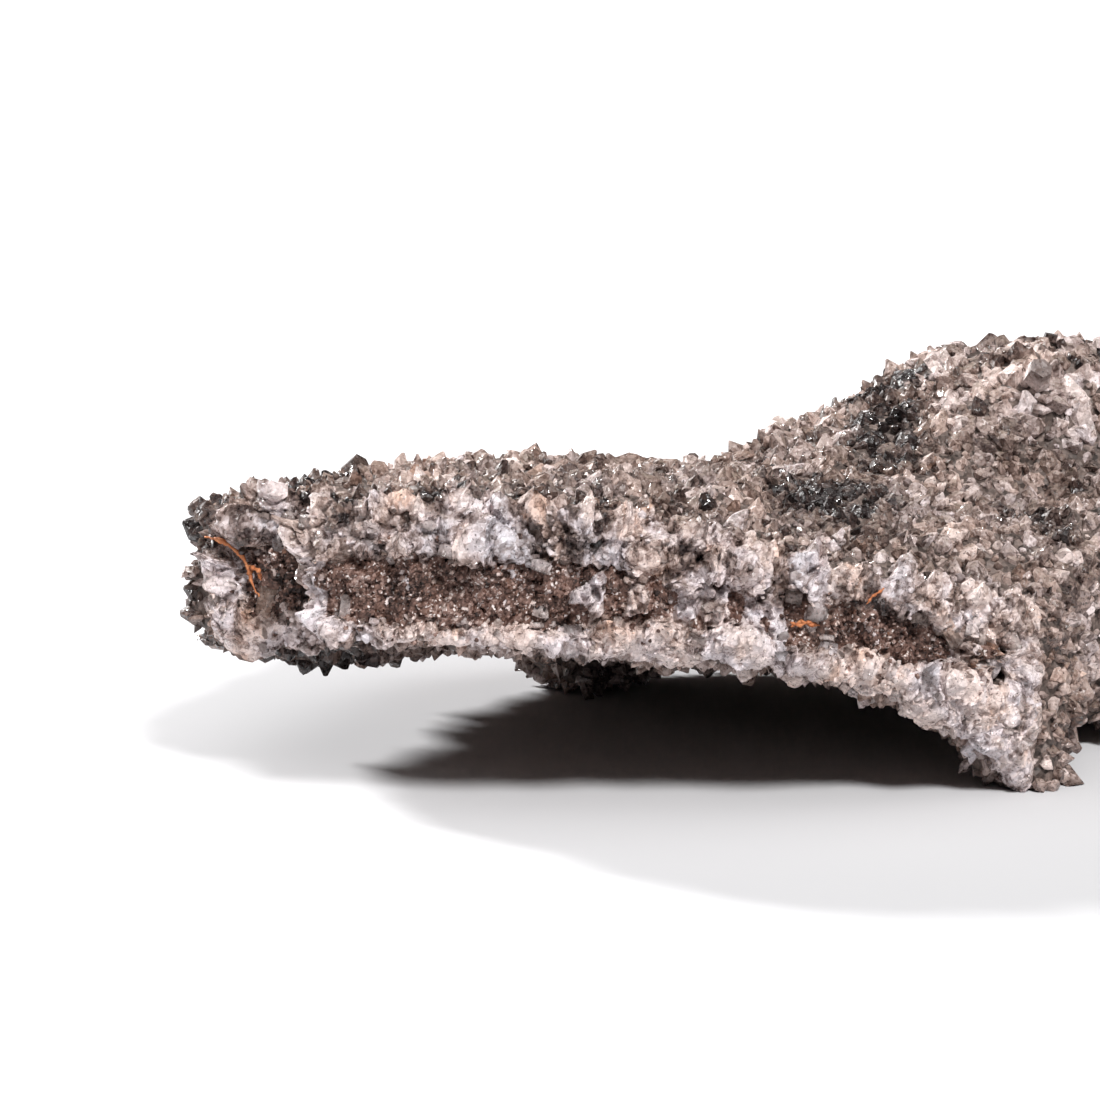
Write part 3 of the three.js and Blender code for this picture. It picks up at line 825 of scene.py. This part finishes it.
class Cells:
    """Broken blocks of one size side by side on the broken faces: each has a tilted flat front."""

    SIDES = 5
    NEIGHBOURS = 9

    def __init__(self, points, normals, spacing, tall, tilt, reach, seed):
        self.rng = np.random.default_rng(seed)
        kept = thinned(points, spacing)
        self.centres, self.wide = points[kept], spacing
        count = len(kept)
        upright = np.column_stack([self.rng.normal(0, 0.35, count), np.zeros(count), np.ones(count)])
        self.across = unit(np.cross(upright, normals[kept]))
        self.along = unit(np.cross(normals[kept], self.across))
        below = is_below_wood(self.centres)
        self.tall = self.rng.uniform(1.0, tall, count) * (1 + 0.6 * below)
        sides = np.arange(self.SIDES) + self.rng.uniform(-0.3, 0.3, (count, self.SIDES))
        angles = sides * 2 * math.pi / self.SIDES + self.rng.uniform(0, 2 * math.pi, (count, 1))
        self.sides = np.stack([np.cos(angles), np.sin(angles)], axis=-1)
        self.edge = self.rng.uniform(0.35, 0.65, (count, self.SIDES))
        self.tilt = self.rng.normal(0, tilt, (count, 2))
        self.top = self.rng.uniform(*reach, count)
        self.tree = KDTree(count)
        for i, centre in enumerate(self.centres):
            self.tree.insert(centre, i)
        self.tree.balance()

    def heights(self, points, steep):
        """The height of the foremost block at each point, and which block that is."""
        near = np.array([[found[1] for found in self.tree.find_n(p, self.NEIGHBOURS)] for p in points])
        away = points[:, None] - self.centres[near]
        x = (away * self.across[near]).sum(-1) / self.wide
        z = (away * self.along[near]).sum(-1) / (self.wide * self.tall[near])
        flat = np.stack([x, z], axis=-1)
        beyond = ((flat[:, :, None, :] * self.sides[near]).sum(-1) - self.edge[near]).max(-1)
        rising = (flat * self.tilt[near]).sum(-1) * self.wide
        falling = steep * self.wide * np.maximum(beyond, 0)
        height = self.top[near] + rising - falling
        first = height.argmax(1)
        rows = np.arange(len(points))
        return height[rows, first], near[rows, first]


def subdivided(points, normals, faces):
    """Each triangle cut in four through the middles of its sides."""
    sides = np.sort(faces[:, [[0, 1], [1, 2], [2, 0]]].reshape(-1, 2), axis=1)
    unique, where = np.unique(sides, axis=0, return_inverse=True)
    middle = where.reshape(-1, 3) + len(points)
    a, b, c = faces.T
    ab, bc, ca = middle.T
    cut = [np.stack(corners, 1) for corners in ((a, ab, ca), (ab, b, bc), (ca, bc, c), (ab, bc, ca))]
    points = np.vstack([points, points[unique].mean(1)])
    normals = unit(np.vstack([normals, normals[unique].mean(1)]))
    return points, normals, np.vstack(cut)


def compacted(points, faces, *values):
    """Only the points that the faces use, and the values that go with them."""
    used = np.unique(faces)
    place = np.full(len(points), -1)
    place[used] = np.arange(len(used))
    return points[used], place[faces], *[v[used] for v in values]


class At:
    """Points on the broken faces, with what the look of the quartz needs."""

    def __init__(self, points, broken):
        self.points, self.broken = points, broken
        near, self.distance = nearest(wood_tree, points)
        self.above = np.where(points[:, 2] > near[:, 2], 1.0, -1.0)
        self.count = len(points)


# Blocks of three sizes: spacing, tallness, tilt, how far they stand out and the random seed
BLOCK_LEVELS = (
    (2.6, 1.8, 0.36, (-0.40, 0.42), 41),
    (1.15, 1.7, 0.66, (-0.26, 0.26), 42),
    (0.55, 1.4, 0.75, (-0.11, 0.11), 43),
)
BLOCK_STEEPNESS = (1.2, 1.6, 1.6)
WOOD_HALF = 0.85
LOBE_STARTS = 9.5


def uncovered(points):
    """Below zero where the band of the wood is bare, above where quartz lies over it."""
    return covering(points) - noise(points, 2.2, 31)


class Sheet:
    """The broken faces as one close mass of crystal blocks of three sizes."""

    def __init__(self):
        points, normals, faces = whole
        broken = brokenness(points, normals)
        faces = faces[(broken[faces] > 0.02).any(1) & (points[faces][:, :, 2] > 0.4).all(1)]
        points, faces, normals = compacted(points, faces, normals)
        seeds, seed_normals = sample(points, normals, faces, 30000)
        self.blocks = [Cells(seeds, seed_normals, *level) for level in BLOCK_LEVELS]
        for _ in range(2):
            points, normals, faces = subdivided(points, normals, faces)
        self.points, self.faces = points, faces
        self.at = At(points, brokenness(points, normals))
        self.over = np.clip(uncovered(points) / 0.15, 0, 1)
        ragged = 0.5 * (noise(points, 1.3, 33) - 0.5) + 0.5 * (noise(points, 0.6, 34) - 0.5)
        beyond_wood = self.at.distance - WOOD_HALF - ragged
        self.is_wood = ((beyond_wood < 0) & (self.over < 0.5))[faces].sum(1) > 1
        self.border = np.clip(beyond_wood / 0.5 + self.over, 0, 1)
        found = [blocks.heights(points, steep) for blocks, steep in zip(self.blocks, BLOCK_STEEPNESS)]
        self.heights, self.cells = zip(*found)
        self.moved = points + normals * self.height(normals)[:, None]

    def height(self, normals):
        """How far each point moves out: less where the face hangs, beside rootlets and at dark holes."""
        coarse, middle, fine = self.heights
        crust = coarse + middle + fine + 0.45 + 0.45 * self.over
        crust *= np.where(crust > 0, 1 - 0.6 * np.clip(-normals[:, 2] / 0.5, 0, 1), 1)
        grains = 0.25 * coarse + 0.5 * middle + fine - 0.1
        height = grains * (1 - self.border) + crust * self.border
        for spot in SPOTS:
            height -= 1.1 * max(0.0, -spot[4]) * spot_weight(self.points, spot)
        beside_rootlets = np.exp(-(rootlet_distance(self.points) / 1.2) ** 4)
        height *= np.clip(self.at.broken * 1.6, 0, 1) * (1 - beside_rootlets)
        return height - 0.7 * np.clip(1 - self.at.broken * 2.5, 0, 1)

    def looks(self):
        """The looks of the quartz and of the wood at each point."""
        local = np.random.default_rng(44)
        tone, hue = tone_and_hue(self.at, 0.0)
        for blocks, cell, share in zip(self.blocks, self.cells, (0.07, 0.07, 0.06)):
            tone += local.normal(0, share, len(blocks.centres))[cell]
            hue += local.normal(0, share, len(blocks.centres))[cell]
        coarse, middle, _ = self.heights
        fringe = between(self.at.distance, 1.9, 0.7) * self.over
        # Painted shade in the hollows between blocks: darker there, and pulled toward the root colour of
        # dirt and painted shade.
        hollow_shade = between(coarse + middle, -0.12, -0.72) * self.border
        tone += 0.16 * fringe + 0.10 * self.over - 0.5 * hollow_shade
        hue -= 0.18 * fringe
        _, middle_cell, fine_cell = self.cells
        each = local.random(len(self.blocks[1].centres))[middle_cell]
        p = self.points
        grained = 0.48 + 0.22 * (noise(p, 2.6, 21) - 0.5) + 0.2 * (noise(p, 5.0, 22) - 0.5)
        grained += local.normal(0, 0.08, len(self.blocks[2].centres))[fine_cell]
        # The wood on the left lobe is darkened with painted shade.
        grained -= 0.2 * (p[:, 1] > LOBE_STARTS)
        rust = 0.25 + 0.3 * local.random(len(p))
        quartz_look = np.column_stack([tone, hue, 0.6 - 0.4 * hollow_shade, each])
        return quartz_look, np.column_stack([grained, rust, rust, rust])

    def make_pieces(self):
        quartz_look, wood_look = self.looks()
        points, faces, look = compacted(self.moved, self.faces[~self.is_wood], quartz_look)
        make_piece("broken_crust", points, faces, MILKY, "smoky_quartz", look)
        points, faces, look = compacted(self.moved, self.faces[self.is_wood], wood_look)
        make_piece("wood_band", points, faces, WOOD, "petrified_wood", look)


POINTED = crystal_variants(28, 0.42, False)
BROKEN = crystal_variants(28, 0.2, True)
LUMP_KINDS = ((32, 2, 11, 0.025), (32, 1, 8, 0.05), (24, 1, 7, 0.10))
BLOCKS, _, CHIPS = (lump_variants(*kind) for kind in LUMP_KINDS)


def grown_axes(places, spread):
    """Crystals grow away from the bed. Where it is broken they lie in the face, up or down."""
    in_face = np.column_stack([np.zeros(places.count), np.full(places.count, -0.12), places.above])
    share = places.broken[:, None]
    mixed = unit(places.normals * (1 - share) + unit(in_face) * share)
    return unit(mixed + rng.normal(0, spread, (places.count, 3)))


def no_further(roots, axes, long, limit):
    """The lengths shortened until no crystal stands out of the bed by more than its limit."""
    long = long.copy()
    for _ in range(7):
        over = depth_outside(quartz_tree, roots + axes * long[:, None]) > limit
        if not over.any():
            break
        long[over] *= 0.84
    return long


def size_of_crystals(points):
    """How much smaller crystals are close to the broken faces, and larger on the mound."""
    away = np.min([line_distance(points, start, end) for start, end, _ in BROKEN_LINES], axis=0)
    return 1 - 0.4 * between(away, 12, 3) + 0.2 * on_mound(*points.T)


LOOKED_FROM = 3.0
LOOKED_AT = 5.0
SHEET_USUALLY = 0.3
ROOTS_IN_BED = 0.25
SHEET_ABOVE_BED = 0.45


def in_front(places):
    """How far the face of the broken sheet stands in front of each place."""
    away = []
    for point, normal in zip(places.points, places.normals):
        start = Vector(point + LOOKED_FROM * normal)
        found, _, _, distance = sheet_tree.ray_cast(start, Vector(-normal), LOOKED_AT)
        away.append(SHEET_USUALLY if found is None else LOOKED_FROM - distance)
    return np.array(away)


def standing(candidates, spacing, wide_range, long_range, proud, spread, wanted, variants):
    """Crystals that stand on the bed with their roots in it."""
    places = Places(candidates, spacing, wanted)
    axes = grown_axes(places, spread)
    wide = places.range(*wide_range) * size_of_crystals(places.points)
    long = wide * places.range(*long_range)
    rise = np.minimum(places.range(*proud), long - ROOTS_IN_BED)
    roots = places.points + axes * (rise - long)[:, None]
    tone, hue = tone_and_hue(places)
    return scatter(variants, roots, axes, wide, long, tone, hue)


def lying(candidates, spacing, wide_range, long_range, proud, spread, variants, lighter):
    """Broken crystals that lie in the broken face, with a part of their thickness in front of it."""
    places = Places(candidates, spacing, is_broken)
    axes = grown_axes(places, spread)
    wide = places.range(*wide_range)
    long = wide * places.range(*long_range)
    rise = np.minimum(places.range(*proud) - SHEET_ABOVE_BED, 0.7 * wide)
    inwards = places.normals * (wide * 0.45 - rise - in_front(places))[:, None]
    roots = places.points - inwards - axes * (long * places.range(0.35, 0.65))[:, None]
    long = no_further(roots, axes, long, places.range(0.1, 0.8))
    tone, hue = tone_and_hue(places)
    return scatter(variants, roots, axes, wide, long, tone + lighter, hue)


def is_free_top(points, normals, broken):
    return (broken < 0.5) & (normals[:, 2] > 0.15)


def is_free_side(points, normals, broken):
    return (broken < 0.5) & (normals[:, 2] <= 0.15)


def is_broken(points, normals, broken):
    return broken >= 0.3


def crust(name, *sets, material=QUARTZ):
    """A piece of the crust from sets of crystals."""
    points, faces, look = together(sets)
    make_piece(name, points, faces, material, "smoky_quartz", look)


crust(
    "top_crystals",
    standing(30000, 1.75, (1.8, 3.1), (1.0, 1.6), (0.5, 1.5), 0.36, is_free_top, POINTED),
    standing(12000, 3.4, (1.8, 3.0), (0.7, 0.9), (0.3, 0.8), 0.40, is_free_top, BLOCKS),
)
crust(
    "side_crystals",
    standing(30000, 1.75, (1.8, 3.2), (1.0, 1.6), (0.4, 1.3), 0.36, is_free_side, POINTED),
    standing(12000, 4.0, (1.6, 2.8), (0.7, 0.9), (0.3, 0.7), 0.40, is_free_side, BLOCKS),
)
crust(
    "small_top_crystals",
    standing(60000, 1.05, (0.8, 1.6), (1.0, 1.7), (0.3, 1.0), 0.55, is_free_top, POINTED),
)
crust(
    "small_side_crystals",
    standing(60000, 1.25, (0.8, 1.7), (1.0, 1.7), (0.3, 1.0), 0.55, is_free_side, POINTED),
)
crust(
    "top_chips",
    standing(60000, 1.0, (0.4, 1.0), (0.8, 1.3), (0.2, 1.1), 0.7, is_free_top, CHIPS),
)
sheet = Sheet()
sheet.make_pieces()
sheet_tree = tree_of(sheet.moved, sheet.faces)
crust(
    "broken_crystals",
    lying(8000, 2.6, (1.2, 2.4), (1.5, 2.6), (0.35, 0.9), 0.30, BROKEN, 0.03),
    lying(16000, 1.7, (0.8, 1.6), (1.0, 2.2), (0.35, 0.95), 0.45, BROKEN, 0.03),
    material=ICY,
)
crust(
    "broken_shards",
    lying(30000, 1.0, (0.6, 1.3), (1.0, 2.0), (0.45, 0.95), 0.55, BROKEN, 0.03),
    material=MILKY,
)
crust(
    "broken_chips",
    lying(50000, 0.44, (0.25, 0.7), (0.8, 1.7), (0.40, 1.0), 0.9, CHIPS, 0.06),
    material=MILKY,
)


# The dark sugary grains of the wood's band

class WoodFace:
    """Places on the wood where its band is bare."""

    def __init__(self, candidates, spacing):
        points, normals = sample(*wood, candidates)
        close = np.zeros(len(points), bool)
        for start, end, reach in BROKEN_LINES:
            close |= line_distance(points, start, end) < reach + 1.5
        shown = close & (np.abs(normals[:, 2]) < 0.9)
        points, normals = points[shown], normals[shown]
        kept = thinned(points, spacing)
        kept = kept[uncovered(points[kept]) < 0.02]
        self.points, self.normals, self.count = points[kept], normals[kept], len(kept)


FEW = 0.06


def wood_grains():
    """Small grains all over the bare band. A few are larger and a few are painted bright, as glints."""
    face = WoodFace(90000, 0.42)
    wide = rng.uniform(0.3, 0.62, face.count) * (1 + 0.6 * (rng.random(face.count) < FEW))
    axes = unit(face.normals + rng.normal(0, 0.5, (face.count, 3)))
    rise = in_front(face) + rng.uniform(-0.12, 0.12, face.count)
    roots = face.points + face.normals * rise[:, None] - axes * wide[:, None] * 0.5
    tone = 0.42 + 0.3 * (noise(face.points, 2.6, 21) - 0.5) + rng.normal(0, 0.13, face.count)
    # A few grains painted bright, as glints.
    tone += 0.45 * (rng.random(face.count) < FEW)
    hue = rng.uniform(0, 0.5, face.count) + 0.4 * (rng.random(face.count) < 0.08)
    return scatter(CHIPS, roots, axes, wide, wide, tone, hue)


points, faces, look = wood_grains()
make_piece("wood_grains", points, faces, WOOD, "petrified_wood", look)


def tube(line, thick, uneven):
    """A closed tube of rings round the line."""
    along = unit(np.gradient(line, axis=0))
    side = unit(np.cross(along, (0.0, 0.3, 1.0)))
    other = np.cross(along, side)
    angles = np.arange(STRAND_SIDES) * 2 * math.pi / STRAND_SIDES
    ring = side[:, None] * np.cos(angles)[:, None] + other[:, None] * np.sin(angles)[:, None]
    body = line[:, None, :] + ring * thick[:, None, None] * uneven
    points = np.vstack([body.reshape(-1, 3), line[:1], line[-1:]])
    first, last = len(points) - 2, len(points) - 1
    last_ring = first - STRAND_SIDES
    faces = []
    for k in range(STRAND_SIDES):
        j = (k + 1) % STRAND_SIDES
        for start in range(0, last_ring, STRAND_SIDES):
            a, b = start + k, start + j
            faces += [(a, b, b + STRAND_SIDES), (a, b + STRAND_SIDES, a + STRAND_SIDES)]
        faces += [(first, j, k), (last, last_ring + k, last_ring + j)]
    return points, np.array(faces)


def strand(points, radius):
    """An uneven round strand with thin ends, on top of the surface that it clings to."""
    line = smooth_line(points, 14)
    for i, p in enumerate(line):
        place, normal, _, _ = whole_tree.find_nearest(p)
        line[i] += np.array(normal) * max(0.0, radius + STRAND_CLEARS - (Vector(p) - place).dot(normal))
    line += rng.normal(0, radius * 0.10, line.shape)
    share = np.linspace(0, 1, len(line))
    knotty = 0.75 + 0.3 * np.sin(share * 23 + rng.uniform(0, 6))
    tapered = np.clip(4 * np.minimum(share, 1 - share) + 0.35, 0, 1)
    uneven = rng.uniform(0.85, 1.15, (len(line), STRAND_SIDES, 1))
    points, faces = tube(line, radius * knotty * tapered, uneven)
    return points, faces, np.zeros((len(points), 4))


for name, (radius, strands) in ROOTLETS.items():
    points, faces, _ = together([strand(line, radius) for line in strands])
    make_piece(name + "_strands", points, faces, ROOTLET, name, smooth=True)


# The floor, the light and the camera

def floor():
    """A plain pale floor."""
    mesh = bpy.data.meshes.new("floor")
    near, far, wide = -1.2, 4.0, 3.0
    corners = [(-wide, near, 0), (wide, near, 0), (wide, far, 0), (-wide, far, 0)]
    mesh.from_pydata(corners, [], [(0, 1, 2, 3)])
    n = Nodes("floor")
    shade = n.noise(n.place(), 0.02, 2.0, 0.5)
    colour = n.ramp(shade, [(0.2, (0.61, 0.605, 0.615)), (0.8, (0.63, 0.625, 0.635))])
    shader = n.add("BsdfPrincipled", {"Base Color": colour, "Roughness": 0.9})
    mesh.materials.append(n.finish(shader.outputs[0]))
    made = bpy.data.objects.new("floor", mesh)
    bpy.context.scene.collection.objects.link(made)


def sun(name, towards, strength, angle):
    """A light from far away. A wide angle makes its shadows soft."""
    light = bpy.data.lights.new(name, "SUN")
    light.energy = strength
    light.angle = math.radians(angle)
    made = bpy.data.objects.new(name, light)
    made.rotation_mode = "QUATERNION"
    made.rotation_quaternion = Vector(towards).to_track_quat("-Z", "Y")
    bpy.context.scene.collection.objects.link(made)


floor()
sun("left_back_light", (1.65, -1.55, -1.15), 6.0, 8)
sun("front_light", (-0.35, 0.9, -1.0), 3.7, 14)
sun("top_light", (0.15, 0.1, -1.0), 1.4, 80)

world = bpy.data.worlds.new("world")
world.use_nodes = True
background = world.node_tree.nodes["Background"]
background.inputs["Color"].default_value = (1.0, 1.0, 1.0, 1.0)
background.inputs["Strength"].default_value = 0.05
bpy.context.scene.world = world
bpy.context.scene.view_settings.view_transform = "Standard"

camera_data = bpy.data.cameras.new("camera")
camera_data.sensor_width = 36.0
camera_data.lens = 180.65
camera_data.clip_end = 20.0
camera = bpy.data.objects.new("camera", camera_data)
camera.location = (-0.02452, -0.51091, 0.10710)
camera.rotation_euler = (math.radians(80), 0, 0)
bpy.context.scene.collection.objects.link(camera)
bpy.context.scene.camera = camera

bpy.context.view_layer.update()
